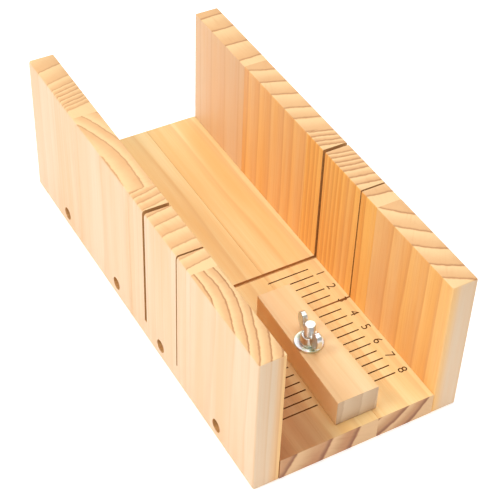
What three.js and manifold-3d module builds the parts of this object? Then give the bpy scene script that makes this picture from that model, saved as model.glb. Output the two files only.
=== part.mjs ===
// Soap loaf cutting box: an open pine trough with saw slots through both walls, a burnt centimetre
// scale on the floor and a stop bar held by a carriage bolt, a washer and a wing nut.
// Millimetres, +Z up. X runs across the box, Y along it with the scale end at -Y, and the origin
// is on the surface it stands on, under the middle of the box.
import * as THREE from 'three';
import { mergeVertices } from 'three/addons/utils/BufferGeometryUtils.js';
import Module from 'manifold-3d';

const wasm = await Module();
wasm.setup();

// Box
const boxLength = 225;
const innerWidth = 78;
const wallThickness = 13;
const wallHeight = 77;
const floorThickness = 12;
const leftOuterArris = 2;
const rightOuterArris = 1.2;
const innerArris = 0.6;
const endArris = 1;

// Staves that the boards are glued up from
const frontStaveWidth = 56.5;
const backStaveWidth = 51.5;
const staveCount = 4;
const floorJointOffset = 10;

// Saw slots and the scale, placed from the front end
const zeroFromFront = 99;
const wideSlotWidth = 2;
const thinSlotWidth = 0.9;
const thinSlotAt = 30;
const kerfDepth = 1.5;
const tickSpacing = 5;
const tickCount = 16;
const tickWidth = 0.7;
const tickDepth = 0.4;
const tickInnerEnd = 9.2;
const tickOuterEnd = 31.3;

// Wood screws that hold each wall to the edge of the floor
const screwLength = 22;
const screwShankRadius = 1.5;
const screwHeadRadius = 2.7;
const screwHeadDepth = 1.8;
const screwTipLength = 3.5;
const screwRecess = 2.5;
const counterboreClearance = 0.6;
const screwHeight = 8;
const screwClearance = 0.1;
const crossWidth = 0.8;
const crossSpan = 3.2;
const crossDepth = 1.2;
const frontScrewFromFront = 32.3;
const backScrewFromBack = 37.3;
const screwAheadOfWideSlot = 14.8;
const screwBehindWideSlot = 31.3;

// Stop bar
const barEndClearance = 3;
const barHeight = 14;
const barFrontWidth = 20.8;
const barBackWidth = 17.2;
const barArris = 0.4;
const barHoleOffset = 3;
const barHoleClearance = 0.3;

// Carriage bolt, its slot and the travel of the stop
const threadRadius = 2.5;
const threadPitch = 0.8;
const boltFromFront = 41.5;
const boltOffset = -1;
const boltTravel = 28.5;
const neckLength = 3.5;
const neckClearance = 0.2;
const boltHeadRadius = 6.75;
const boltHeadHeight = 3;
const boltHeadClearance = 0.5;
const headSetback = 0.5;
const boltProtrusion = 6.1;

// Washer and wing nut
const washerRadius = 6.75;
const washerThickness = 1.2;
const washerClearance = 0.25;
const bossBaseRadius = 4.4;
const bossTopRadius = 3.7;
const bossHeight = 4.2;
const earTopRadius = 7.1;
const earOuterRadius = 10;
const earHeight = 10.8;
const earThickness = 2.6;
const earTipWidth = 2.4;
const earWidestShare = 0.62;
const earThroatShare = 0.7;
const earRootFillet = 0.6;
const nutAngle = THREE.MathUtils.degToRad(-6);
const nutClearance = 0.08;

const restGap = 0.1;
const overcut = 1;
const roundSides = 32;
const screwSides = 24;
const domeSteps = 5;
const arcSegments = 6;

const front = -boxLength / 2;
const back = boxLength / 2;
const innerHalf = innerWidth / 2;
const outerHalf = innerHalf + wallThickness;
const scaleZero = front + zeroFromFront;
const wideSlotY = scaleZero + wideSlotWidth / 2;
const thinSlotY = scaleZero - thinSlotAt;
const kerfBottom = floorThickness - kerfDepth;
const screwRows = [
  front + frontScrewFromFront,
  wideSlotY - screwAheadOfWideSlot,
  wideSlotY + screwBehindWideSlot,
  back - backScrewFromBack,
];
const boltY = front + boltFromFront;
const barLength = innerWidth - 2 * barEndClearance;
const barBottom = floorThickness + restGap;
const washerBottom = barBottom + barHeight + restGap;
const nutBottom = washerBottom + washerThickness + restGap;
const boltTip = nutBottom + bossHeight + boltProtrusion;
const neckHalf = threadRadius;
const counterboreRadius = screwHeadRadius + counterboreClearance;
const recessDepth = boltHeadHeight + headSetback + restGap;

const wallPine = new THREE.MeshStandardMaterial({ color: 0xf0d3a4, roughness: 0.6, metalness: 0 });
const floorPine = new THREE.MeshStandardMaterial({ color: 0xeeb872, roughness: 0.6, metalness: 0 });
const barPine = new THREE.MeshStandardMaterial({ color: 0xf3cf98, roughness: 0.6, metalness: 0 });
const zincSteel = new THREE.MeshStandardMaterial({ color: 0xc9cbc8, roughness: 0.3, metalness: 1 });

// Joining and cutting

function solid(geometry) {
  const bare = geometry.clone();
  bare.deleteAttribute('normal');
  bare.deleteAttribute('uv');
  const merged = mergeVertices(bare, 1e-4);
  const corners = merged.index.array;
  const triangles = [];
  for (let i = 0; i < corners.length; i += 3) {
    const [a, b, c] = corners.slice(i, i + 3);
    if (a !== b && b !== c && c !== a) triangles.push(a, b, c);
  }
  return new wasm.Manifold(new wasm.Mesh({
    numProp: 3,
    vertProperties: merged.attributes.position.array,
    triVerts: new Uint32Array(triangles),
  }));
}

function part(name, body, material) {
  const { vertProperties, triVerts } = body.getMesh();
  const indexed = new THREE.BufferGeometry();
  indexed.setAttribute('position', new THREE.BufferAttribute(vertProperties, 3));
  indexed.setIndex(new THREE.BufferAttribute(triVerts, 1));
  const geometry = indexed.toNonIndexed();
  geometry.computeVertexNormals();
  const mesh = new THREE.Mesh(geometry, material.clone());
  mesh.name = name;
  return mesh;
}

// Basic shapes

function block(x0, x1, y0, y1, z0, z1) {
  const geometry = new THREE.BoxGeometry(x1 - x0, y1 - y0, z1 - z0);
  return solid(geometry.translate((x0 + x1) / 2, (y0 + y1) / 2, (z0 + z1) / 2));
}

function prism(outline, z0, z1) {
  const depth = z1 - z0;
  const settings = { depth, bevelEnabled: false, curveSegments: arcSegments };
  const geometry = new THREE.ExtrudeGeometry(outline, settings);
  return solid(geometry.translate(0, 0, z0));
}

function turned(profile, sides) {
  const points = profile.map(([radius, height]) => new THREE.Vector2(radius, height));
  return new THREE.LatheGeometry(points, sides).rotateX(Math.PI / 2);
}

function roundedBox(x0, x1, y0, y1, radii) {
  const [r00, r10, r11, r01] = radii;
  const outline = new THREE.Shape();
  outline.moveTo(x0 + r00, y0);
  outline.lineTo(x1 - r10, y0);
  outline.absarc(x1 - r10, y0 + r10, r10, -Math.PI / 2, 0);
  outline.lineTo(x1, y1 - r11);
  outline.absarc(x1 - r11, y1 - r11, r11, 0, Math.PI / 2);
  outline.lineTo(x0 + r01, y1);
  outline.absarc(x0 + r01, y1 - r01, r01, Math.PI / 2, Math.PI);
  outline.lineTo(x0, y0 + r00);
  outline.absarc(x0 + r00, y0 + r00, r00, Math.PI, 1.5 * Math.PI);
  return outline;
}

function slotOutline(halfWidth, halfLength) {
  const outline = new THREE.Shape();
  outline.absarc(0, halfLength - halfWidth, halfWidth, 0, Math.PI);
  outline.absarc(0, halfWidth - halfLength, halfWidth, Math.PI, 2 * Math.PI);
  return outline;
}

// Walls: one rounded blank, glued up from staves that stand on end, sawn through at the two slots

function sawCuts() {
  const cuts = [[wideSlotY, wideSlotWidth], [thinSlotY, thinSlotWidth]].map(([y, width]) =>
    block(-outerHalf - overcut, outerHalf + overcut, y - width / 2, y + width / 2,
      kerfBottom, wallHeight + overcut));
  return cuts[0].add(cuts[1]);
}

function screwHole() {
  const neck = screwShankRadius + screwClearance;
  return solid(turned([
    [0, -overcut],
    [counterboreRadius, -overcut],
    [counterboreRadius, screwRecess],
    [screwHeadRadius + screwClearance, screwRecess],
    [neck, screwRecess + screwHeadDepth],
    [neck, screwRecess + screwLength + overcut],
    [0, screwRecess + screwLength + overcut],
  ], screwSides));
}

function screwHoles() {
  const hole = screwHole();
  const holes = [];
  for (const side of [-1, 1]) {
    for (const y of screwRows) {
      holes.push(hole.rotate([0, -side * 90, 0]).translate([side * outerHalf, y, screwHeight]));
    }
  }
  return wasm.Manifold.union(holes);
}

function wallBlank(side) {
  const inner = side * innerHalf;
  const outer = side * outerHalf;
  const left = Math.min(inner, outer);
  const right = Math.max(inner, outer);
  const outerArris = side < 0 ? leftOuterArris : rightOuterArris;
  const topArris = side < 0 ? [innerArris, outerArris] : [outerArris, innerArris];
  const footArris = side < 0 ? [outerArris, 0] : [0, outerArris];
  const section = roundedBox(left, right, 0, wallHeight, [...footArris, ...topArris]);
  const length = new THREE.ExtrudeGeometry(section,
    { depth: boxLength, bevelEnabled: false, curveSegments: arcSegments });
  const plan = roundedBox(left, right, front, back, [endArris, endArris, endArris, endArris]);
  return solid(length.rotateX(Math.PI / 2).translate(0, back, 0)).intersect(prism(plan, 0, wallHeight));
}

function wallStaves(sideName, side) {
  const blank = wallBlank(side).subtract(sawCuts()).subtract(screwHoles());
  const middleStaveWidth = (boxLength - frontStaveWidth - backStaveWidth) / (staveCount - 2);
  const staves = [];
  let start = front;
  for (let number = 1; number <= staveCount; number += 1) {
    const joint = front + frontStaveWidth + (number - 1) * middleStaveWidth;
    const end = number < staveCount ? joint : back;
    const stave = blank.intersect(block(-outerHalf, outerHalf, start, end, 0, wallHeight));
    staves.push(part(`${sideName}_wall_stave_${number}`, stave, wallPine));
    start = end;
  }
  return staves;
}

// Floor: two staves laid lengthwise, with the kerfs, the scale and the slot for the bolt

function scaleTicks() {
  const ticks = [];
  for (let number = 1; number <= tickCount; number += 1) {
    const y = scaleZero - number * tickSpacing;
    const onKerf = Math.abs(y - thinSlotY) < tickWidth;
    if (onKerf) continue;
    for (const side of [-1, 1]) {
      const ends = [side * tickInnerEnd, side * tickOuterEnd];
      ticks.push(block(Math.min(...ends), Math.max(...ends), y - tickWidth / 2, y + tickWidth / 2,
        floorThickness - tickDepth, floorThickness + overcut));
    }
  }
  return wasm.Manifold.union(ticks);
}

function boltSlot() {
  const slotHalf = neckHalf + neckClearance;
  const recessHalf = boltHeadRadius + boltHeadClearance;
  const slotLine = slotOutline(slotHalf, boltTravel + neckHalf + slotHalf);
  const recessLine = slotOutline(recessHalf, boltTravel + recessHalf);
  const slot = prism(slotLine, -overcut, floorThickness + overcut);
  const recess = prism(recessLine, -overcut, recessDepth);
  return slot.add(recess).translate([boltOffset, boltY, 0]);
}

function floorStaves() {
  const blank = block(-innerHalf, innerHalf, front, back, 0, floorThickness)
    .subtract(sawCuts()).subtract(screwHoles()).subtract(scaleTicks()).subtract(boltSlot());
  const left = block(-innerHalf, floorJointOffset, front, back, 0, floorThickness);
  const right = block(floorJointOffset, innerHalf, front, back, 0, floorThickness);
  return [
    part('floor_stave_left', blank.intersect(left), floorPine),
    part('floor_stave_right', blank.intersect(right), floorPine),
  ];
}

// Wood screws: countersunk, with a cross recess, pointing inwards from each side

function woodScrew(name) {
  const body = solid(turned([
    [0, 0],
    [screwHeadRadius, 0],
    [screwShankRadius, screwHeadDepth],
    [screwShankRadius, screwLength - screwTipLength],
    [0, screwLength],
  ], screwSides));
  const half = crossSpan / 2;
  const arm = block(-half, half, -crossWidth / 2, crossWidth / 2, -overcut, crossDepth);
  return part(name, body.subtract(arm).subtract(arm.rotate([0, 0, 90])), zincSteel);
}

function screws(sideName, side) {
  return screwRows.map((y, index) => {
    const screw = woodScrew(`${sideName}_screw_${index + 1}`);
    screw.rotation.y = -side * Math.PI / 2;
    screw.position.set(side * (outerHalf - screwRecess), y, screwHeight);
    return screw;
  });
}

// Stop and its clamp, in a group that stands at the bolt's axis

function stopBar() {
  const half = barLength / 2;
  const frontHalf = barFrontWidth / 2;
  const backHalf = barBackWidth / 2;
  const outline = new THREE.Shape();
  outline.moveTo(barHoleOffset - frontHalf + barArris, barArris - half);
  outline.lineTo(barHoleOffset + frontHalf - barArris, barArris - half);
  outline.lineTo(barHoleOffset + backHalf - barArris, half - barArris);
  outline.lineTo(barHoleOffset - backHalf + barArris, half - barArris);
  outline.closePath();
  const geometry = new THREE.ExtrudeGeometry(outline, {
    depth: barHeight - 2 * barArris, bevelSize: barArris, bevelThickness: barArris, bevelSegments: 3,
  });
  const hole = new THREE.CylinderGeometry(
    threadRadius + barHoleClearance, threadRadius + barHoleClearance, barHeight + 2 * overcut, roundSides);
  const bar = solid(geometry.translate(0, 0, barArris))
    .subtract(solid(hole.rotateX(Math.PI / 2).translate(0, 0, barHeight / 2)));
  const mesh = part('stop_bar', bar, barPine);
  mesh.position.z = barBottom;
  return mesh;
}

function carriageBolt() {
  const underHead = recessDepth - restGap;
  const domeRadius = (boltHeadRadius ** 2 + boltHeadHeight ** 2) / (2 * boltHeadHeight);
  const domeAngle = Math.asin(boltHeadRadius / domeRadius);
  const profile = [];
  for (let step = 0; step <= domeSteps; step += 1) {
    const angle = domeAngle * step / domeSteps;
    const drop = domeRadius * (Math.cos(angle) - Math.cos(domeAngle));
    profile.push([domeRadius * Math.sin(angle), underHead - drop]);
  }
  const chamfer = threadPitch / 2;
  profile.push([threadRadius, underHead], [threadRadius, boltTip - chamfer]);
  profile.push([threadRadius - chamfer, boltTip], [0, boltTip]);
  const neck = block(-neckHalf, neckHalf, -neckHalf, neckHalf, underHead - overcut, underHead + neckLength);
  return part('carriage_bolt', solid(turned(profile, roundSides)).add(neck), zincSteel);
}

function flatWasher() {
  const hole = threadRadius + washerClearance;
  const geometry = turned([
    [hole, 0],
    [washerRadius, 0],
    [washerRadius, washerThickness],
    [hole, washerThickness],
    [hole, 0],
  ], roundSides);
  const mesh = part('flat_washer', solid(geometry), zincSteel);
  mesh.position.z = washerBottom;
  return mesh;
}

function wingNut() {
  const boss = solid(turned([
    [0, 0],
    [bossBaseRadius, 0],
    [bossBaseRadius, bossHeight / 3],
    [bossTopRadius, bossHeight],
    [0, bossHeight],
  ], roundSides));
  const throatRadius = earTopRadius - earTipWidth;
  const ear = new THREE.Shape();
  ear.moveTo(threadRadius, bossHeight / 4);
  ear.lineTo(bossBaseRadius, bossHeight / 4);
  ear.quadraticCurveTo(earOuterRadius, bossHeight / 2, earOuterRadius, earHeight * earWidestShare);
  ear.quadraticCurveTo(earOuterRadius, earHeight, earTopRadius, earHeight);
  ear.quadraticCurveTo(throatRadius, earHeight, throatRadius, earHeight * earThroatShare);
  ear.quadraticCurveTo(bossTopRadius + earRootFillet, bossHeight, threadRadius, bossHeight);
  ear.closePath();
  const plate = new THREE.ExtrudeGeometry(ear,
    { depth: earThickness, bevelEnabled: false, curveSegments: arcSegments });
  const wing = solid(plate.translate(0, 0, -earThickness / 2).rotateX(Math.PI / 2).rotateZ(Math.PI / 2));
  const boreRadius = threadRadius + nutClearance;
  const bore = solid(new THREE.CylinderGeometry(boreRadius, boreRadius, 4 * bossHeight, roundSides)
    .rotateX(Math.PI / 2));
  const nut = boss.add(wing).add(wing.rotate([0, 0, 180])).subtract(bore);
  const mesh = part('wing_nut', nut, zincSteel);
  mesh.rotation.z = nutAngle;
  mesh.position.z = nutBottom;
  return mesh;
}

const box = new THREE.Group();
box.add(...floorStaves(), ...wallStaves('left', -1), ...wallStaves('right', 1));
box.add(...screws('left', -1), ...screws('right', 1));

const stop = new THREE.Group();
stop.position.set(boltOffset, boltY, 0);
stop.add(stopBar(), carriageBolt(), flatWasher(), wingNut());

const cuttingBox = new THREE.Group();
cuttingBox.add(box, stop);

export default cuttingBox;
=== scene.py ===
import math

import bmesh
import bpy
from mathutils import Matrix, Vector


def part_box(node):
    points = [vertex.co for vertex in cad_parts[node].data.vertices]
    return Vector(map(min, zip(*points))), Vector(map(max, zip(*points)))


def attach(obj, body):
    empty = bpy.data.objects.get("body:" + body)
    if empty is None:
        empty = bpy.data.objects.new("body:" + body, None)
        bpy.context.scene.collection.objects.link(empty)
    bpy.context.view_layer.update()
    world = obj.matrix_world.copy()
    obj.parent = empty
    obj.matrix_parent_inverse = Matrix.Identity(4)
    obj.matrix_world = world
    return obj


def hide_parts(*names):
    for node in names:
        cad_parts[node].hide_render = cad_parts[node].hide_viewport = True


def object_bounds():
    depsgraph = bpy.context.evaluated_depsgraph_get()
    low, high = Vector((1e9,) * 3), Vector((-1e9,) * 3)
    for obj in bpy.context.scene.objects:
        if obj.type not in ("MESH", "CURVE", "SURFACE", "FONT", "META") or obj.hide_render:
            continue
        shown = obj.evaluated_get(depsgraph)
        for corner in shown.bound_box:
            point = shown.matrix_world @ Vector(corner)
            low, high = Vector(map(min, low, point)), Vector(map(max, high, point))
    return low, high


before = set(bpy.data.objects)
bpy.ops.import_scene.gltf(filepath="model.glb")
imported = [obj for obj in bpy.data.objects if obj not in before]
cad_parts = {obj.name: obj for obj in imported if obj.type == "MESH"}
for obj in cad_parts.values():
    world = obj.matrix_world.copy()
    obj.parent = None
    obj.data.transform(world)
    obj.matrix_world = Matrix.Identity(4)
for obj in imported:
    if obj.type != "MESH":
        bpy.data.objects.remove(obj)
cad_low, cad_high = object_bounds()

# Wall staves. Each side board is glued up from four short pine staves standing on end, so the grain
# runs up the wall and the growth rings show along its top. The staves are planed flush, the long
# arrises are rounded over, and the two saw slots and the screw holes are cut through afterwards.

MM = 0.001
GRAIN_UP = 2
GRAIN_ALONG = 1
# How much of a unit vector lies along an axis that it is said to follow.
MOSTLY = 0.9
# The colour sockets of a Mix node, which share their names with its other sockets.
MIX_FIRST = 6
MIX_SECOND = 7
MIX_RESULT = 2
WALL_PINE = {
    "face": (0.765, 0.570, 0.385, 1),
    "deep": (0.760, 0.490, 0.275, 1),
    "streak": (0.640, 0.350, 0.140, 1),
    # The colours of the painted shade and warm bounce light on the inner faces of the walls.
    "shade_tint": (0.930, 0.520, 0.140, 1),
    "shade_tint_deep": (0.800, 0.340, 0.065, 1),
    "end": (0.800, 0.540, 0.270, 1),
    "end_deep": (0.660, 0.350, 0.150, 1),
    "end_ring": (0.400, 0.175, 0.065, 1),
}
# How strongly each feature of the wood shows on a plain face, a face under painted shade and the end
# grain.
SHOWS = {
    "face": {"late": 0.3, "fibre": 0.35, "flecks": 0.12},
    "shade_tint": {"least": 0.55, "broad": 0.7, "late": 0.55, "fibre": 0.4, "line": 0.3},
    "end": {"first_late": 0.45, "rays": 0.35, "late": 0.65, "line": 0.85, "pores": 0.18},
}


class Link:
    """One socket of a finish. Sums and products of links add Math nodes, and node() any other."""

    def __init__(self, tree, socket=None):
        self.tree = tree
        self.socket = socket

    def node(self, kind, settings, values, output=0):
        made = self.tree.nodes.new("ShaderNode" + kind)
        for name, setting in settings.items():
            if name == "stops":
                ramp = made.color_ramp.elements
                while len(ramp) < len(setting):
                    ramp.new(1)
                for stop, (position, level) in zip(ramp, setting):
                    stop.position = position
                    stop.color = level if isinstance(level, tuple) else (level, level, level, 1)
            else:
                setattr(made, name, setting)
        for name, value in values.items():
            if isinstance(value, Link):
                self.tree.links.new(value.socket, made.inputs[name])
            else:
                made.inputs[name].default_value = value
        return Link(self.tree, made.outputs[output]) if made.outputs else None

    def maths(self, operation, first, second):
        return self.node("Math", {"operation": operation}, {0: first, 1: second})

    def __add__(self, other):
        return self.maths("ADD", self, other)

    def __radd__(self, other):
        return self.maths("ADD", other, self)

    def __sub__(self, other):
        return self.maths("SUBTRACT", self, other)

    def __rsub__(self, other):
        return self.maths("SUBTRACT", other, self)

    def __mul__(self, other):
        return self.maths("MULTIPLY", self, other)

    def __truediv__(self, other):
        return self.maths("DIVIDE", self, other)

    def __pow__(self, other):
        return self.maths("POWER", self, other)

    def between(self, low, high):
        """0 at low, 1 at high and a smooth change between them. Low may be the larger one."""
        return self.node(
            "MapRange",
            {"interpolation_type": "SMOOTHSTEP"},
            {"Value": self, "From Min": low, "From Max": high},
        )

    def tint(self, first, second):
        """The first colour where this is 0, the second where it is 1."""
        settings = {"data_type": "RGBA", "clamp_factor": True}
        values = {0: self, MIX_FIRST: first, MIX_SECOND: second}
        return self.node("Mix", settings, values, output=MIX_RESULT)

    def noise(self, stretch, detail=2, roughness=0.5, shift=0):
        """Noise on this place in millimetres, with stretch features per millimetre on each axis."""
        mapped = self.node("Mapping", {}, {"Vector": self, "Location": (shift,) * 3, "Scale": stretch})
        values = {"Vector": mapped, "Scale": 1, "Detail": detail, "Roughness": roughness}
        return self.node("TexNoise", {}, values)


def start_finish(name):
    """An empty finish, and the place on the piece in millimetres."""
    finish = bpy.data.materials.new(name)
    finish.use_nodes = True
    finish.node_tree.nodes.clear()
    blank = Link(finish.node_tree)
    metres = blank.node("TexCoord", {}, {}, output="Object")
    place = metres.node("VectorMath", {"operation": "SCALE"}, {0: metres, "Scale": 1 / MM})
    return finish, place


def parts_of(vector):
    return [vector.node("SeparateXYZ", {}, {0: vector}, output=axis) for axis in range(3)]


LATE_WOOD = 0.4


def ring_lines(distance, rings, line_width, drop):
    """0 in the early wood, rising to LATE_WOOD before each ring and to 1 on its thin dark line."""
    most_rings = 10  # a ramp has room for 32 stops, and each ring takes three
    lead_in = 20
    total = None
    for start in range(0, len(rings), most_rings):
        group = rings[start:start + most_rings]
        before = rings[start - 1] + drop if start else 2 * group[0] - group[-1] - lead_in
        low, high = before, group[-1] + 2 * drop
        stops = [(0, 0)]
        for ring in group:
            for at, level in ((ring - line_width, LATE_WOOD), (ring, 1), (ring + drop, 0)):
                stops.append(((at - low) / (high - low), level))
        share = (distance - low) / (high - low)
        inside = distance.maths("LESS_THAN", distance, high)
        lines = share.node("ValToRGB", {"stops": stops}, {"Fac": share}) * inside
        total = lines if total is None else total.maths("MAXIMUM", total, lines)
    return total


def pine(name, grain, heart, rings, colours, seed, ring_strength=1.0, streak_strength=0.22,
         painted_shade_side=None, painted_shade_end=None, painted_shade_strength=1.0, line_width=1.3, drop=0.5):
    """Pine with growth rings round a heart at that place across the grain, all in millimetres.
    The optional pairs of places across and along it, each (pale, shaded), say where painted shade
    makes its faces along the grain deeper and warmer."""
    finish, place = start_finish(name)
    sides = parts_of(place)
    across = sides[0]
    other = sides[3 - grain]

    def grained(fine, long, apart, detail, roughness=0.5):
        """Noise with that many features per millimetre across and along the grain."""
        scale = [fine, fine, fine]
        scale[grain] = long
        return place.noise(tuple(scale), detail=detail, roughness=roughness, shift=seed + apart)

    sway_width = 6
    ripple_width = 1.2
    sway = grained(0.02, 0.007, 0, detail=1) * sway_width - sway_width / 2
    ripple = grained(0.35, 0.02, 7, detail=2) * ripple_width - ripple_width / 2
    offset_a = across - heart[0]
    offset_b = other - heart[1]
    radius = (offset_a * offset_a + offset_b * offset_b) ** 0.5
    ring = ring_lines(radius + sway + ripple, rings, line_width, drop)
    late_wood_top = LATE_WOOD + 0.02
    late = ring.between(0.0, late_wood_top)
    line = ring.between(late_wood_top, 1.0)

    broad = grained(0.09, 0.006, 13, detail=3)
    fibre = grained(1.6, 0.03, 19, detail=4, roughness=0.65)
    flecks = grained(1.1, 0.14, 23, detail=2).between(0.68, 0.8)
    face = broad.between(0.35, 0.7).tint(colours["face"], colours["deep"])
    on_face = SHOWS["face"]
    lined = late * on_face["late"] + fibre.between(0.42, 0.72) * on_face["fibre"]
    face = lined.tint(face, colours["deep"])
    # Painted shade: between the pale and the shaded places, the faces along the grain take a deeper,
    # warmer colour, clouded by the broad noise.
    if painted_shade_side:
        painted_shade = across.between(*painted_shade_side)
        if painted_shade_end:
            painted_shade = painted_shade * sides[grain].between(*painted_shade_end)
        on_shade = SHOWS["shade_tint"]
        cloudy_shade = painted_shade * (on_shade["least"] + broad * on_shade["broad"]) * painted_shade_strength
        lined = late * on_shade["late"] + fibre.between(0.42, 0.7) * on_shade["fibre"]
        lined = lined + line * on_shade["line"]
        face = cloudy_shade.tint(face, lined.tint(colours["shade_tint"], colours["shade_tint_deep"]))
    face = (line * streak_strength + flecks * on_face["flecks"]).tint(face, colours["streak"])

    mean_radius = sum(rings) / len(rings)
    turn = offset_a.maths("ARCTAN2", offset_b, offset_a) * mean_radius
    across_rays = 0.9
    along_rays = 0.05
    ray_place = turn.node(
        "CombineXYZ", {}, {0: turn * across_rays, 1: radius * along_rays, 2: seed})
    rays = ray_place.noise((1, 1, 1), detail=3)
    pores = place.noise((2.2, 2.2, 2.2), detail=3, roughness=0.7, shift=seed + 31)
    end = broad.between(0.3, 0.7).tint(colours["end"], colours["end_deep"])
    on_end = SHOWS["end"]
    rayed = late * on_end["first_late"] + rays.between(0.45, 0.8) * on_end["rays"]
    end = rayed.tint(colours["end"], end)
    end = (late * on_end["late"]).tint(end, colours["end_deep"])
    ringed = line * ring_strength * on_end["line"] + pores.between(0.58, 0.8) * on_end["pores"]
    end = ringed.tint(end, colours["end_ring"])

    facing = place.node("TexCoord", {}, {}, output="Normal")
    facing_end = facing.node("VectorMath", {"operation": "ABSOLUTE"}, {0: facing})
    cut_across = parts_of(facing_end)[grain].between(0.35, 0.75)
    colour = cut_across.tint(face, end)
    roughness = 0.5 + fibre * 0.16 + cut_across * 0.12
    height = fibre * (1 - cut_across) + pores * cut_across + line * 0.5
    bump = height.node("Bump", {}, {"Strength": 0.35, "Distance": 0.12 * MM, "Height": height})
    surface = colour.node("BsdfPrincipled", {}, {
        "Base Color": colour, "Roughness": roughness, "Normal": bump, "IOR": 1.45,
    })
    surface.node("OutputMaterial", {}, {"Surface": surface})
    return finish


def new_piece(name, shape, *finishes):
    """A mesh object from a bmesh, which is used up."""
    mesh = bpy.data.meshes.new(name)
    shape.normal_update()
    shape.to_mesh(mesh)
    shape.free()
    for finish in finishes:
        mesh.materials.append(finish)
    piece = bpy.data.objects.new(name, mesh)
    bpy.context.scene.collection.objects.link(piece)
    return piece


def block(low, high):
    shape = bmesh.new()
    bmesh.ops.create_cube(shape, size=1)
    size = Vector(high) - Vector(low)
    middle = (Vector(high) + Vector(low)) / 2
    for corner in shape.verts:
        corner.co = Vector([m + c * s for m, c, s in zip(middle, corner.co, size)])
    return shape


def bake_modifiers(piece):
    """The piece's mesh as its modifiers leave it, with the modifiers gone."""
    bpy.context.view_layer.update()
    seen = piece.evaluated_get(bpy.context.evaluated_depsgraph_get())
    mesh = bpy.data.meshes.new_from_object(seen)
    piece.modifiers.clear()
    piece.data = mesh


def ease(piece, width, arris):
    """Rounds every edge by arris(middle, direction), from 0 to 1 of the width."""
    shape = bmesh.new()
    shape.from_mesh(piece.data)
    weight = shape.edges.layers.float.new("bevel_weight_edge")
    for edge in shape.edges:
        a, b = (corner.co for corner in edge.verts)
        edge[weight] = arris((a + b) / 2, (b - a).normalized())
    shape.to_mesh(piece.data)
    shape.free()
    bevel = piece.modifiers.new("arrises", "BEVEL")
    bevel.width = width
    bevel.segments = 8
    bevel.limit_method = "WEIGHT"
    bevel.use_clamp_overlap = False
    bake_modifiers(piece)


def cut(piece, *cutters):
    """Cuts each shape out of the piece."""
    for shape in cutters:
        tool = new_piece("cutter", shape)
        knife = piece.modifiers.new("cut", "BOOLEAN")
        knife.operation = "DIFFERENCE"
        knife.solver = "EXACT"
        knife.object = tool
        bake_modifiers(piece)
        bpy.data.objects.remove(tool)


def turned(profile, sides, closed=False):
    """Turns (radius, height) points round Z. The ends are on the axis unless the profile closes."""
    shape = bmesh.new()
    rows = []
    for radius, height in profile:
        if radius == 0:
            rows.append([shape.verts.new((0, 0, height))])
            continue
        row = []
        for side in range(sides):
            angle = math.tau * side / sides
            row.append(shape.verts.new((radius * math.cos(angle), radius * math.sin(angle), height)))
        rows.append(row)
    pairs = list(zip(rows, rows[1:]))
    if closed:
        pairs.append((rows[-1], rows[0]))
    for below, above in pairs:
        for side in range(sides):
            after = (side + 1) % sides
            if len(below) == 1:
                shape.faces.new((below[0], above[after], above[side]))
            elif len(above) == 1:
                shape.faces.new((below[side], below[after], above[0]))
            else:
                shape.faces.new((below[side], below[after], above[after], above[side]))
    bmesh.ops.recalc_face_normals(shape, faces=shape.faces)
    return shape


def moved(shape, matrix):
    bmesh.ops.transform(shape, matrix=matrix, verts=shape.verts)
    return shape


def smooth(piece, angle=30):
    """Soft shading over curves, with the edges sharper than the angle left crisp."""
    piece.data.shade_smooth()
    piece.data.set_sharp_from_angle(angle=math.radians(angle))


def hand_in(piece, body, slot, *nodes):
    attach(piece, body)
    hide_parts(*nodes)


screw_sides = 40
head_radius = 2.7 * MM
head_depth = 1.8 * MM
head_recess = 2.5 * MM
shank_radius = 1.5 * MM
hole_clearance = 0.1 * MM
counterbore_radius = 3.3 * MM
hole_end = 25 * MM


scale_zero = cad_low.y + 99 * MM  # the front face of the wide saw slot
wide_slot = 2 * MM
thin_slot = 0.9 * MM
thin_slot_at = 30 * MM
kerf_depth = 1.5 * MM
floor_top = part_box("floor_stave_left")[1].z
slack = 0.02 * MM
saw_slots = (
    (scale_zero, wide_slot),
    (scale_zero - thin_slot_at - thin_slot / 2, thin_slot),
)
screw_seats = []
for side, inwards in (("left", 1), ("right", -1)):
    for number in range(1, 5):
        low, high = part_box(f"{side}_screw_{number}")
        head = (low + high) / 2
        head.x = low.x if side == "left" else high.x
        seat = Matrix.Translation(head) @ Matrix.Rotation(inwards * math.pi / 2, 4, "Y")
        screw_seats.append((side, number, head, seat))


def screw_holes():
    """The countersunk holes of both sides, where the frame has its screws."""
    neck = shank_radius + hole_clearance
    profile = [
        (0, -head_recess - MM), (counterbore_radius, -head_recess - MM),
        (counterbore_radius, 0), (head_radius + hole_clearance, 0),
        (neck, head_depth), (neck, hole_end), (0, hole_end),
    ]
    return [moved(turned(profile, screw_sides), seat) for side, number, head, seat in screw_seats]


def in_counterbore(piece, face):
    """Whether every corner of a face is on the lining of a hole that a screw head sits in."""
    corners = [piece.data.vertices[index].co for index in face.vertices]
    for side, number, head, seat in screw_seats:
        if all(abs(corner.x - head.x) < head_recess + head_depth
               and math.hypot(corner.y - head.y, corner.z - head.z) < counterbore_radius + slack
               for corner in corners):
            return True
    return False


def saw_cuts():
    """Both slots, through the walls and a little way into the floor."""
    reach = 5 * MM
    shapes = []
    for start, width in saw_slots:
        low = (cad_low.x - reach, start, floor_top - kerf_depth)
        high = (cad_high.x + reach, start + width, cad_high.z + reach)
        shapes.append(block(low, high))
    return shapes


def in_saw_cut(face):
    """Whether a face is a side or the bottom of one of the two saw cuts."""
    upright = abs(face.normal.y) > MOSTLY
    bottom = face.normal.z > MOSTLY and face.center.z < floor_top - MM
    near = any(start - slack < face.center.y < start + width + slack for start, width in saw_slots)
    return near and (upright or bottom)


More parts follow.
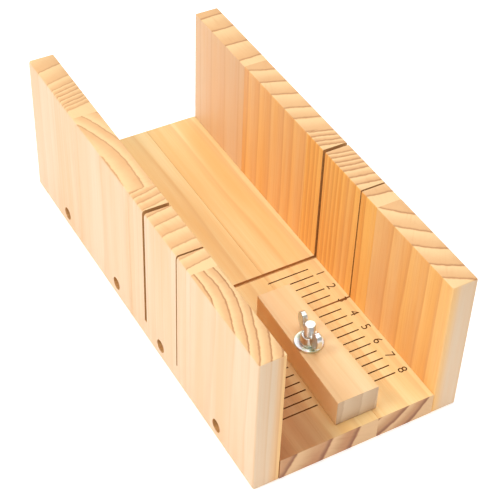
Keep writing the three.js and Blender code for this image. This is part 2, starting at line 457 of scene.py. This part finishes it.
def sawn():
    """Pine that the saw and the drill have browned, darkened further with painted shade: the sides of
    the slots and of the holes.
    """
    finish, place = start_finish("sawn_and_shaded_pine")
    fuzz = place.noise((0.6, 0.6, 2.4), detail=4, roughness=0.7, shift=3)
    # Dark browns for saw and drill burn, with painted shade of the narrow slots and holes laid in.
    colour = fuzz.between(0.3, 0.75).tint((0.520, 0.250, 0.085, 1), (0.740, 0.430, 0.170, 1))
    bump = fuzz.node("Bump", {}, {"Strength": 0.6, "Distance": 0.2 * MM, "Height": fuzz})
    surface = colour.node("BsdfPrincipled", {}, {
        "Base Color": colour, "Roughness": 0.8, "Normal": bump, "IOR": 1.35,
    })
    surface.node("OutputMaterial", {}, {"Surface": surface})
    return finish


saw_burn_and_shade = sawn()
# Each board's heart and growth rings; some also set its ring strength or the strength of the painted
# shade on its inner face.
wall_boards = {
    "left": {
        1: {"heart": (-130, -62), "strength": 1.15, "rings": (79, 84, 88.5, 92.5, 97, 101.5)},
        2: {"heart": (-110, 320), "rings": (
            321, 324, 327.5, 331.5, 336, 341, 348, 355.5, 364, 371, 377)},
        3: {"heart": (-127, 18), "rings": (68, 76.5, 84.8, 91, 98)},
        4: {"heart": (-110, 360), "rings": (
            253.5, 266, 275.5, 281, 284, 287, 290.5, 293.5, 296, 299)},
    },
    "right": {
        1: {"heart": (119, 11), "rings": (103.5, 113, 122.5, 133, 141)},
        2: {"heart": (120, 300), "painted_shade": 1.15, "rings": (
            308, 311.5, 315, 318, 325, 328, 331.5, 334.5, 338, 343, 348, 357)},
        3: {"heart": (153, 309), "rings": (276, 286.5, 297, 308, 315.5, 325)},
        4: {"heart": (45, 330), "rings": (224.4, 236.5, 250.5, 264), "painted_shade": 0.18},
    },
}
wall_sides = {
    "left": {"seed": 5, "strength": 0.72, "line_width": 0.9, "drop": 0.3, "arris": 2 * MM},
    "right": {"seed": 70, "strength": 1.0, "line_width": 1.4, "drop": 0.5, "arris": 1.2 * MM},
}
widest_arris = 2 * MM
inner_arris = 0.6 * MM
end_arris = 1 * MM
glue_line_arris = 0.12 * MM
# How strongly the painted shade and bounce light show on a wall stave's inner face, unless its board
# says otherwise.
usual_painted_shade = 0.85
seed_step = 17


def wall_arris(outer_x, outer_arris):
    """For ease(): the outer long edges are rounded most, and the glue lines hardly at all."""
    def share(middle, direction):
        lengthwise = abs(direction.y) > MOSTLY
        upright = abs(direction.z) > MOSTLY
        at_end = min(abs(middle.y - cad_low.y), abs(middle.y - cad_high.y)) < MM
        if lengthwise and abs(middle.x - outer_x) < MM:
            return outer_arris / widest_arris
        if lengthwise and middle.z > cad_high.z - MM:
            return inner_arris / widest_arris
        if at_end:
            return (end_arris if upright else inner_arris) / widest_arris
        return glue_line_arris / widest_arris if upright else 0
    return share


for side, boards in wall_boards.items():
    looks = wall_sides[side]
    for number, board in boards.items():
        node = f"{side}_wall_stave_{number}"
        low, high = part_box(node)
        outer_x, inner_x = (low.x, high.x) if side == "left" else (high.x, low.x)
        # The inner half of each stave takes painted shade and warm bounce light on its faces along the
        # grain.
        wood = pine(f"pine_{node}", GRAIN_UP, board["heart"], board["rings"], WALL_PINE,
                    seed=number * seed_step + looks["seed"],
                    painted_shade_strength=board.get("painted_shade", usual_painted_shade),
                    ring_strength=board.get("strength", looks["strength"]),
                    line_width=looks["line_width"],
                    drop=looks["drop"],
                    painted_shade_side=((low.x + high.x) / 2 / MM, inner_x / MM))
        stave = new_piece(f"{side}_stave_{number}", block(low, high), wood, saw_burn_and_shade)
        ease(stave, widest_arris, wall_arris(outer_x, looks["arris"]))
        cut(stave, *saw_cuts(), *screw_holes())
        # Slot sides and counterbore linings take the browned pine with its painted shade.
        for face in stave.data.polygons:
            if in_saw_cut(face) or in_counterbore(stave, face):
                face.material_index = 1
        smooth(stave)
        hand_in(stave, "box", "wall_pine", node)

# Floor. Two pine staves lie lengthwise between the walls, glued edge to edge. The saw has left two
# shallow kerfs across them, and the centimetre scale is burnt in: lines on both sides of the stop
# and numbers along one side. A slot with a wider recess below it takes the bolt of the stop.

FLOOR_PINE = {
    # The colours laid on the front left of the left board: partly its own browner wood, partly painted
    # shadow of the left wall.
    "shade_tint": (0.450, 0.185, 0.055, 1),
    "shade_tint_deep": (0.360, 0.130, 0.035, 1),
    "face": (0.930, 0.720, 0.370, 1),
    "deep": (0.870, 0.550, 0.210, 1),
    "streak": (0.640, 0.310, 0.110, 1),
    "end": (0.780, 0.500, 0.265, 1),
    "end_deep": (0.500, 0.210, 0.090, 1),
    "end_ring": (0.270, 0.105, 0.055, 1),
}
tick_spacing = 5 * MM
tick_count = 16
tick_width = 0.7 * MM
burn_depth = 0.4 * MM
tick_inner_end = 9.2 * MM
tick_outer_end = 31.3 * MM
digit_height = 4.6 * MM
cap_share = 0.72  # the height of a digit, as a share of the size of its font
digit_x = 35.2 * MM
bolt_slot_half = 2.7 * MM
bolt_slot_reach = 33.7 * MM
bolt_recess_half = 7.25 * MM
bolt_recess_reach = 35.75 * MM
bolt_recess_depth = 3.6 * MM


def scorched():
    """Wood burnt brown by the marking iron, clouded darker and lighter."""
    finish, place = start_finish("scorched_pine")
    char = place.noise((0.8, 0.8, 0.8), detail=3, roughness=0.7)
    colour = char.between(0.3, 0.75).tint((0.110, 0.034, 0.007, 1), (0.190, 0.068, 0.014, 1))
    bump = char.node("Bump", {}, {"Strength": 0.5, "Distance": 0.1 * MM, "Height": char})
    surface = colour.node("BsdfPrincipled", {}, {
        "Base Color": colour, "Roughness": 0.8 + char * 0.15, "Normal": bump, "IOR": 1.2,
    })
    surface.node("OutputMaterial", {}, {"Surface": surface})
    return finish


def joined(shapes):
    """One shape out of several that don't touch."""
    whole = bmesh.new()
    for shape in shapes:
        part = bpy.data.meshes.new("part")
        shape.to_mesh(part)
        shape.free()
        whole.from_mesh(part)
        bpy.data.meshes.remove(part)
    return whole


def scale_lines():
    lines = []
    for number in range(1, tick_count + 1):
        y = scale_zero - number * tick_spacing
        if abs(number * tick_spacing - thin_slot_at) < tick_width:
            continue
        for near, far in ((tick_inner_end, tick_outer_end), (-tick_outer_end, -tick_inner_end)):
            low = (near, y - tick_width / 2, floor_top - burn_depth)
            lines.append(block(low, (far, y + tick_width / 2, floor_top + MM)))
    return joined(lines)


def digit(number):
    """A number burnt beside its line, upright for someone who looks across from the left."""
    letters = bpy.data.curves.new("digit", "FONT")
    letters.body = str(number)
    letters.size = digit_height / cap_share
    letters.extrude = (burn_depth + MM) / 2
    letters.resolution_u = 6
    text = bpy.data.objects.new("digit", letters)
    bpy.context.scene.collection.objects.link(text)
    bpy.context.view_layer.update()
    mesh = bpy.data.meshes.new_from_object(text)
    bpy.data.objects.remove(text)
    shape = bmesh.new()
    shape.from_mesh(mesh)
    bmesh.ops.remove_doubles(shape, verts=shape.verts, dist=1e-6)
    bmesh.ops.recalc_face_normals(shape, faces=shape.faces)
    places = [corner.co.copy() for corner in shape.verts]
    low = Vector([min(p[axis] for p in places) for axis in range(3)])
    high = Vector([max(p[axis] for p in places) for axis in range(3)])
    middle = (low + high) / 2
    y = scale_zero - 2 * number * tick_spacing
    z = floor_top - burn_depth + (high.z - low.z) / 2
    turn = Matrix.Rotation(-math.pi / 2, 4, "Z")
    return moved(shape, Matrix.Translation((digit_x, y, z)) @ turn @ Matrix.Translation(-middle))


def stadium(centre, half, reach, low_z, high_z):
    """An upright solid with round ends, reach from its middle to each end along Y."""
    shape = bmesh.new()
    outline = []
    steps = 24  # along each round end
    for step in range(2 * steps + 2):
        turn = step if step <= steps else step - 1
        angle = math.pi * turn / steps
        shift = reach - half if step <= steps else half - reach
        outline.append((half * math.cos(angle), half * math.sin(angle) + shift))
    bottom = [shape.verts.new((centre.x + x, centre.y + y, low_z)) for x, y in outline]
    face = shape.faces.new(bottom)
    grown = bmesh.ops.extrude_face_region(shape, geom=[face])
    top = [item for item in grown["geom"] if isinstance(item, bmesh.types.BMVert)]
    bmesh.ops.translate(shape, verts=top, vec=(0, 0, high_z - low_z))
    bmesh.ops.recalc_face_normals(shape, faces=shape.faces)
    return shape


floor_end_arris = 0.3 * MM


def floor_arris(middle, direction):
    """For ease(): the ends are rounded in full, the long top edges by half and the rest not."""
    if abs(direction.y) > MOSTLY and middle.z > floor_top - MM:
        return 0.5
    return 1 if abs(direction.x) > MOSTLY else 0


def in_burnt_mark(face, low, high):
    """Whether a face of the board from low to high is in a line or a number of the scale."""
    depth = floor_top - face.center.z
    burnt_in = 0.01 * MM < depth < burn_depth + 0.05 * MM
    on_scale = scale_zero - (tick_count + 1) * tick_spacing < face.center.y < scale_zero - MM
    inside = low.x + MM / 2 < face.center.x < high.x - MM / 2 or face.normal.z > MOSTLY
    return burnt_in and on_scale and inside


burnt = scorched()
# The left board turns browner towards the left wall and the front: partly its own wood, partly painted
# shadow of the left wall.
floor_boards = {
    "floor_stave_left": {"heart": (-97, 40), "rings": (60.5, 72.5, 89.5, 102.5), "seed": 41,
                         "painted_shade_side": (-3, -20), "painted_shade_end": (-42, -68)},
    "floor_stave_right": {"heart": (-20.6, 53.4), "rings": (52, 61, 70), "seed": 93},
}
bolt_low, bolt_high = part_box("carriage_bolt")
bolt_axis = (bolt_low + bolt_high) / 2
for node, board in floor_boards.items():
    low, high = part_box(node)
    wood = pine(f"pine_{node}", GRAIN_ALONG, board["heart"], board["rings"], FLOOR_PINE,
                board["seed"], line_width=3.2, drop=0.9,
                painted_shade_side=board.get("painted_shade_side"), painted_shade_end=board.get("painted_shade_end"))
    stave = new_piece(node.replace("stave_", "") + "_board", block(low, high), wood, burnt, saw_burn_and_shade)
    ease(stave, floor_end_arris, floor_arris)
    cut(stave, scale_lines())
    if node == "floor_stave_right":
        cut(stave, *[digit(number) for number in range(1, 9)])
    for face in stave.data.polygons:
        if in_burnt_mark(face, low, high):
            face.material_index = 1
    slot_shape = stadium(bolt_axis, bolt_slot_half, bolt_slot_reach, -MM, high.z + MM)
    recess = stadium(bolt_axis, bolt_recess_half, bolt_recess_reach, -MM, bolt_recess_depth)
    cut(stave, *saw_cuts(), slot_shape, recess, *screw_holes())
    # Slot sides and bottoms take the browned pine with its painted shade.
    for face in stave.data.polygons:
        if in_saw_cut(face):
            face.material_index = 2
    smooth(stave)
    hand_in(stave, "box", "floor_pine", node)

# Wood screws. Four plated steel countersunk screws on each side hold the wall to the edge of the
# floor. Their heads sit below the face in a counterbore, with a cross recess for the driver.

BRIGHT_ZINC = ((0.86, 0.87, 0.86, 1), (0.66, 0.67, 0.66, 1))
# Zinc for the screw heads, dark brown metal that paints the shade of the counterbores they sit in.
ZINC_IN_PAINTED_SHADE = ((0.210, 0.150, 0.085, 1), (0.120, 0.080, 0.045, 1))


def plated(name, tint_strength, shift=0, zinc=BRIGHT_ZINC):
    """Zinc plate: slightly cloudy, with the faint yellow, green and pink of the coating."""
    finish, place = start_finish(name)
    cloud = place.noise((0.5, 0.5, 0.5), detail=3, shift=shift)
    hue = place.noise((0.22, 0.22, 0.22), detail=1, shift=shift + 11)
    scratch = place.noise((3, 3, 9), detail=4, roughness=0.7, shift=shift + 5)
    colour = cloud.between(0.3, 0.7).tint(*zinc)
    bands = {"stops": [
        (0.30, (0.82, 0.74, 0.46, 1)), (0.45, (0.66, 0.80, 0.58, 1)),
        (0.58, (0.80, 0.70, 0.74, 1)), (0.72, (0.66, 0.74, 0.78, 1)),
    ]}
    film = hue.node("ValToRGB", bands, {"Fac": hue})
    least_film = 0.35
    colour = ((least_film + cloud * (1 - least_film)) * tint_strength).tint(colour, film)
    roughness = 0.2 + cloud * 0.12 + scratch * 0.1
    bump = scratch.node("Bump", {}, {"Strength": 0.12, "Distance": 0.05 * MM, "Height": scratch})
    surface = colour.node("BsdfPrincipled", {}, {
        "Base Color": colour, "Roughness": roughness, "Normal": bump, "Metallic": 1.0,
    })
    surface.node("OutputMaterial", {}, {"Surface": surface})
    return finish


def thread_height(turns):
    """The shape of one thread: 0 in the root, 1 on the crest, with straight flanks."""
    share = turns % 1
    flank = 0.4
    crest = 0.1
    if share < flank:
        return share / flank
    if share < flank + crest:
        return 1
    if share < 2 * flank + crest:
        return 1 - (share - flank - crest) / flank
    return 0


def rows_to_shape(rows, sides):
    """Skins a stack of rows, each a height and a radius for every angle, and closes both ends."""
    shape = bmesh.new()
    rings = []
    for height, radius in rows:
        ring = []
        for side in range(sides):
            angle = math.tau * side / sides
            r = radius(angle)
            ring.append(shape.verts.new((r * math.cos(angle), r * math.sin(angle), height)))
        rings.append(ring)
    for below, above in zip(rings, rings[1:]):
        for side in range(sides):
            after = (side + 1) % sides
            shape.faces.new((below[side], below[after], above[after], above[side]))
    shape.faces.new(list(reversed(rings[0])))
    shape.faces.new(rings[-1])
    bmesh.ops.recalc_face_normals(shape, faces=shape.faces)
    return shape


def thread_rows(start, end, crest, root, pitch, limit):
    """Rows of a thread from start to end, never outside limit(height)."""
    rows = []
    rows_per_turn = 8
    steps = int((end - start) / pitch * rows_per_turn)
    for step in range(steps + 1):
        height = start + (end - start) * step / steps

        def radius(angle, height=height):
            wave = thread_height(height / pitch - angle / math.tau)
            return max(min(root + (crest - root) * wave, limit(height)), 0.05 * MM)

        rows.append((height, radius))
    return rows


screw_length = 22 * MM
screw_core = 1.05 * MM
screw_pitch = 1.3 * MM
screw_tip = 5 * MM
shank_end = 8 * MM
shank_neck = shank_radius * 0.78
cross_reach = 1.6 * MM
cross_half = 0.4 * MM
cross_depth = 1.2 * MM
cross_turn = 0.7


def screw_limit(height):
    return min(1, (screw_length - height) / screw_tip) * shank_radius + 0.02 * MM


def steady(radius):
    return lambda angle: radius


screw_rows = [
    (0, steady(head_radius - 0.25 * MM)), (0.06 * MM, steady(head_radius - 0.06 * MM)),
    (0.2 * MM, steady(head_radius)), (0.3 * MM, steady(head_radius)),
    (head_depth, steady(shank_radius * 0.8)), (head_depth * 1.4, steady(shank_neck)),
    (shank_end - 0.4 * MM, steady(shank_neck)),
]
screw_rows += thread_rows(shank_end, screw_length - 0.1 * MM, shank_radius, screw_core,
                          screw_pitch, screw_limit)
screw_mesh = new_piece("screw_pattern", rows_to_shape(screw_rows, screw_sides))
for turn in (0, math.pi / 2):
    arm = block((-cross_reach, -cross_half, -MM), (cross_reach, cross_half, cross_depth))
    cut(screw_mesh, moved(arm, Matrix.Rotation(turn, 4, "Z")))
smooth(screw_mesh, 40)
# The screw heads take the dark zinc, which paints the shade of their counterbores.
screw_mesh.data.materials.append(plated("screw_plate", tint_strength=0.1, zinc=ZINC_IN_PAINTED_SHADE))
for side, number, head, seat in screw_seats:
    screw = bpy.data.objects.new(f"{side}_wood_screw_{number}", screw_mesh.data.copy())
    bpy.context.scene.collection.objects.link(screw)
    screw.data.transform(seat @ Matrix.Rotation(number * cross_turn, 4, "Z"))
    hand_in(screw, "box", "screw_steel", f"{side}_screw_{number}")
bpy.data.objects.remove(screw_mesh)

# Stop bar. A short block of pine, a little wider at its front, that lies on the floor with one
# hole for the bolt. Its edges are only just eased.

BAR_PINE = {
    "face": (0.930, 0.725, 0.440, 1),
    "deep": (0.880, 0.570, 0.280, 1),
    "streak": (0.700, 0.400, 0.180, 1),
    "end": (0.690, 0.505, 0.325, 1),
    "end_deep": (0.600, 0.400, 0.240, 1),
    "end_ring": (0.400, 0.250, 0.190, 1),
}
bar_back_width = 17.2 * MM
bar_arris = 0.4 * MM
bar_hole_radius = 2.8 * MM
hole_sides = 48
low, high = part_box("stop_bar")
bar_middle = (low.x + high.x) / 2
bar_shape = block(low, high)
for corner in bar_shape.verts:
    if corner.co.y > (low.y + high.y) / 2:
        side = 1 if corner.co.x > bar_middle else -1
        corner.co.x = bar_middle + side * bar_back_width / 2
bar_wood = pine("pine_stop_bar", GRAIN_ALONG, (-90, 30), (84, 93.5, 102), BAR_PINE, 57,
                ring_strength=0.2, streak_strength=0.15)
bar = new_piece("stop_block", bar_shape, bar_wood)
ease(bar, bar_arris, lambda middle, direction: 1)
bar_hole_top = high.z - low.z + MM
bar_hole = turned([(0, -MM), (bar_hole_radius, -MM), (bar_hole_radius, bar_hole_top),
                   (0, bar_hole_top)], hole_sides)
cut(bar, moved(bar_hole, Matrix.Translation((bolt_axis.x, bolt_axis.y, low.z))))
smooth(bar)
hand_in(bar, "bar", "bar_pine", "stop_bar")

# Carriage bolt. An M5 steel bolt comes up through the slot: a domed head in the recess below, a
# square neck that can't turn in the slot, and a rolled thread up through the stop.

bolt_radius = 2.5 * MM
bolt_root = 2.15 * MM
bolt_pitch = 0.8 * MM
bolt_head_radius = 6.75 * MM
bolt_head_height = 3 * MM
neck_length = 3.5 * MM
tip_chamfer = 0.25 * MM
bolt_sides = 48


def bolt_limit(height):
    return bolt_radius - max(0, tip_chamfer - (bolt_high.z - height))


def square(half, corner):
    """A square with rounded corners as a radius for each angle."""
    def radius(angle):
        power = 2 + 10 * (1 - corner)
        return half / (abs(math.cos(angle)) ** power + abs(math.sin(angle)) ** power) ** (1 / power)
    return radius


head_bottom = bolt_low.z
under_head = head_bottom + bolt_head_height
dome = (bolt_head_radius ** 2 + bolt_head_height ** 2) / (2 * bolt_head_height)
dome_angle = math.asin(bolt_head_radius / dome)
dome_steps = 15
bolt_rows = []
for step in range(1, dome_steps):
    angle = dome_angle * step / dome_steps
    drop = dome * (math.cos(angle) - math.cos(dome_angle))
    bolt_rows.append((under_head - drop, steady(dome * math.sin(angle))))
bolt_rows.append((under_head - 0.15 * MM, steady(bolt_head_radius - 0.03 * MM)))
bolt_rows.append((under_head - 0.04 * MM, steady(bolt_head_radius - 0.1 * MM)))
bolt_rows.append((under_head, steady(bolt_head_radius - 0.3 * MM)))
bolt_rows.append((under_head + 0.02 * MM, square(bolt_radius + 0.3 * MM, 0.4)))
bolt_rows.append((under_head + 0.3 * MM, square(bolt_radius, 0.2)))
bolt_rows.append((under_head + neck_length - 0.4 * MM, square(bolt_radius, 0.2)))
bolt_rows.append((under_head + neck_length, square(bolt_root, 0.6)))
bolt_rows += thread_rows(under_head + neck_length + 0.2 * MM, bolt_high.z, bolt_radius, bolt_root,
                         bolt_pitch, bolt_limit)
bolt_plate = plated("bolt_plate", tint_strength=0.25, shift=3)
bolt = new_piece("stop_bolt", rows_to_shape(bolt_rows, bolt_sides), bolt_plate)
bolt.data.transform(Matrix.Translation((bolt_axis.x, bolt_axis.y, 0)))
smooth(bolt, 35)
hand_in(bolt, "bolt", "zinc_plated_steel", "carriage_bolt")

# Flat washer. Punched from zinc plated sheet, so its upper edge is slightly rounded and its lower
# edge is crisp. It spreads the load of the nut on the soft wood.

washer_low, washer_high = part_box("flat_washer")
washer_radius = (washer_high.x - washer_low.x) / 2
washer_hole = 2.75 * MM
washer_sides = 72
washer_plate = plated("washer_plate", tint_strength=0.9, shift=21)
punched = 0.3 * MM


def rounded(centre_r, centre_z, radius, from_deg, to_deg, steps=5):
    points = []
    for step in range(steps + 1):
        angle = math.radians(from_deg + (to_deg - from_deg) * step / steps)
        points.append((centre_r + radius * math.cos(angle), centre_z + radius * math.sin(angle)))
    return points


nip = 0.08 * MM
washer_profile = [
    *rounded(washer_hole + nip, washer_low.z + nip, nip, 180, 270, 2),
    *rounded(washer_radius - nip, washer_low.z + nip, nip, 270, 360, 2),
    *rounded(washer_radius - punched, washer_high.z - punched, punched, 0, 90),
    *rounded(washer_hole + punched / 2, washer_high.z - punched / 2, punched / 2, 90, 180),
]
washer = new_piece("washer", turned(washer_profile, washer_sides, closed=True), washer_plate)
washer.data.transform(Matrix.Translation((bolt_axis.x, bolt_axis.y, 0)))
smooth(washer, 40)
hand_in(washer, "washer", "zinc_plated_steel", "flat_washer")

# Wing nut. Cast in one piece with two rounded ears and a short boss, then plated. Turning it by
# hand frees or clamps the stop.

nut_low, nut_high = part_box("wing_nut")
nut_turn = math.radians(-6)
boss_base = 4.4 * MM
boss_top = 3.7 * MM
boss_height = 4.2 * MM
boss_sides = 64
ear_height = nut_high.z - nut_low.z
ear_outer = 10 * MM
ear_top = 7.1 * MM
ear_tip = 2.4 * MM
ear_thickness = 2.6 * MM
ear_widest_at = ear_height * 0.62
ear_throat_at = ear_height * 0.7
ear_root_fillet = 0.6 * MM
nut_bore = 2.58 * MM


def curve(start, pull, end, steps=8):
    points = []
    for step in range(1, steps + 1):
        t = step / steps
        points.append(tuple(
            (1 - t) ** 2 * a + 2 * t * (1 - t) * b + t * t * c for a, b, c in zip(start, pull, end)))
    return points


def ear():
    throat = ear_top - ear_tip
    corners = [(0, boss_height / 4), (boss_base, boss_height / 4)]
    corners += curve(corners[-1], (ear_outer, boss_height / 2), (ear_outer, ear_widest_at))
    corners += curve(corners[-1], (ear_outer, ear_height), (ear_top, ear_height))
    corners += curve(corners[-1], (throat, ear_height), (throat, ear_throat_at))
    corners += curve(corners[-1], (boss_top + ear_root_fillet, boss_height), (0, boss_height))
    shape = bmesh.new()
    outline = [shape.verts.new((-ear_thickness / 2, y, z)) for y, z in corners]
    face = shape.faces.new(outline)
    grown = bmesh.ops.extrude_face_region(shape, geom=[face])
    far = [item for item in grown["geom"] if isinstance(item, bmesh.types.BMVert)]
    bmesh.ops.translate(shape, verts=far, vec=(ear_thickness, 0, 0))
    bmesh.ops.recalc_face_normals(shape, faces=shape.faces)
    return shape


boss = turned([(0, 0), (boss_base, 0), (boss_base, boss_height / 3), (boss_top, boss_height),
               (0, boss_height)], boss_sides)
nut_plate = plated("nut_plate", tint_strength=0.35, shift=37)
nut = new_piece("wing_nut_casting", boss, nut_plate)
for turn in (0, math.pi):
    tool = new_piece("ear", moved(ear(), Matrix.Rotation(turn, 4, "Z")))
    weld = nut.modifiers.new("weld", "BOOLEAN")
    weld.operation = "UNION"
    weld.solver = "EXACT"
    weld.object = tool
    bake_modifiers(nut)
    bpy.data.objects.remove(tool)
casting = nut.modifiers.new("casting", "REMESH")
casting.mode = "VOXEL"
casting.voxel_size = 0.2 * MM
melt = nut.modifiers.new("melt", "SMOOTH")
melt.factor = 0.5
melt.iterations = 8
bake_modifiers(nut)
bore_top = 2 * boss_height
cut(nut, turned([(0, -MM), (nut_bore, -MM), (nut_bore, bore_top), (0, bore_top)], hole_sides))
nut.data.transform(Matrix.Translation((bolt_axis.x, bolt_axis.y, nut_low.z))
                   @ Matrix.Rotation(nut_turn, 4, "Z"))
smooth(nut, 50)
hand_in(nut, "nut", "zinc_plated_steel", "wing_nut")

# Studio. A plain white floor and an even white room, with three soft lamps: one overhead, one
# behind on the right and a smaller, stronger one on the left. The camera looks down from the front.

table = new_piece("studio_floor", block((-6, -6, -0.02), (6, 6, 0)))
table_finish, place = start_finish("studio_white")
mottle = place.noise((0.01, 0.01, 0.01), detail=2)
white = mottle.tint((0.90, 0.90, 0.90, 1), (0.92, 0.92, 0.92, 1))
matt = white.node("BsdfPrincipled", {}, {
    "Base Color": white, "Roughness": 0.9, "Emission Color": white, "Emission Strength": 0.35,
})
matt.node("OutputMaterial", {}, {"Surface": matt})
table.data.materials.append(table_finish)

room = bpy.data.worlds.new("studio_room")
room.use_nodes = True
background = room.node_tree.nodes["Background"]
background.inputs["Color"].default_value = (1, 1, 1, 1)
background.inputs["Strength"].default_value = 0.49
bpy.context.scene.world = room


def softbox(name, place, aim, size, power):
    lamp = bpy.data.lights.new(name, "AREA")
    lamp.shape = "SQUARE"
    lamp.size = size
    lamp.energy = power
    holder = bpy.data.objects.new(name, lamp)
    holder.location = place
    holder.rotation_euler = (Vector(aim) - Vector(place)).to_track_quat("-Z", "Y").to_euler()
    bpy.context.scene.collection.objects.link(holder)


softbox("overhead_lamp", (0.05, -0.15, 0.95), (0, 0, 0.03), 0.6, 3.8)
softbox("back_lamp", (0.45, 0.68, 0.80), (0, 0, 0.03), 0.5, 1.6)
softbox("left_lamp", (-0.68, -0.02, 0.80), (0, 0, 0.04), 0.3, 5.4)

middle = (cad_low + cad_high) / 2
aim = middle + Vector((-1.44, -18.41, 0)) * MM
azimuth = math.radians(-31.067)
elevation = math.radians(42.826)
roll = math.radians(2.411)
distance = 638.5 * MM
back = Vector((math.sin(azimuth) * math.cos(elevation),
               -math.cos(azimuth) * math.cos(elevation), math.sin(elevation)))
camera = bpy.data.objects.new("camera", bpy.data.cameras.new("camera"))
camera.data.sensor_width = 36
camera.data.lens = 100.72
camera.data.clip_start = 0.01
camera.matrix_world = (
    Matrix.Translation(aim + back * distance)
    @ Matrix.Rotation(azimuth, 4, "Z")
    @ Matrix.Rotation(math.pi / 2 - elevation, 4, "X")
    @ Matrix.Rotation(roll, 4, "Z")
)
bpy.context.scene.collection.objects.link(camera)
bpy.context.scene.camera = camera
bpy.context.scene.view_settings.view_transform = "Standard"
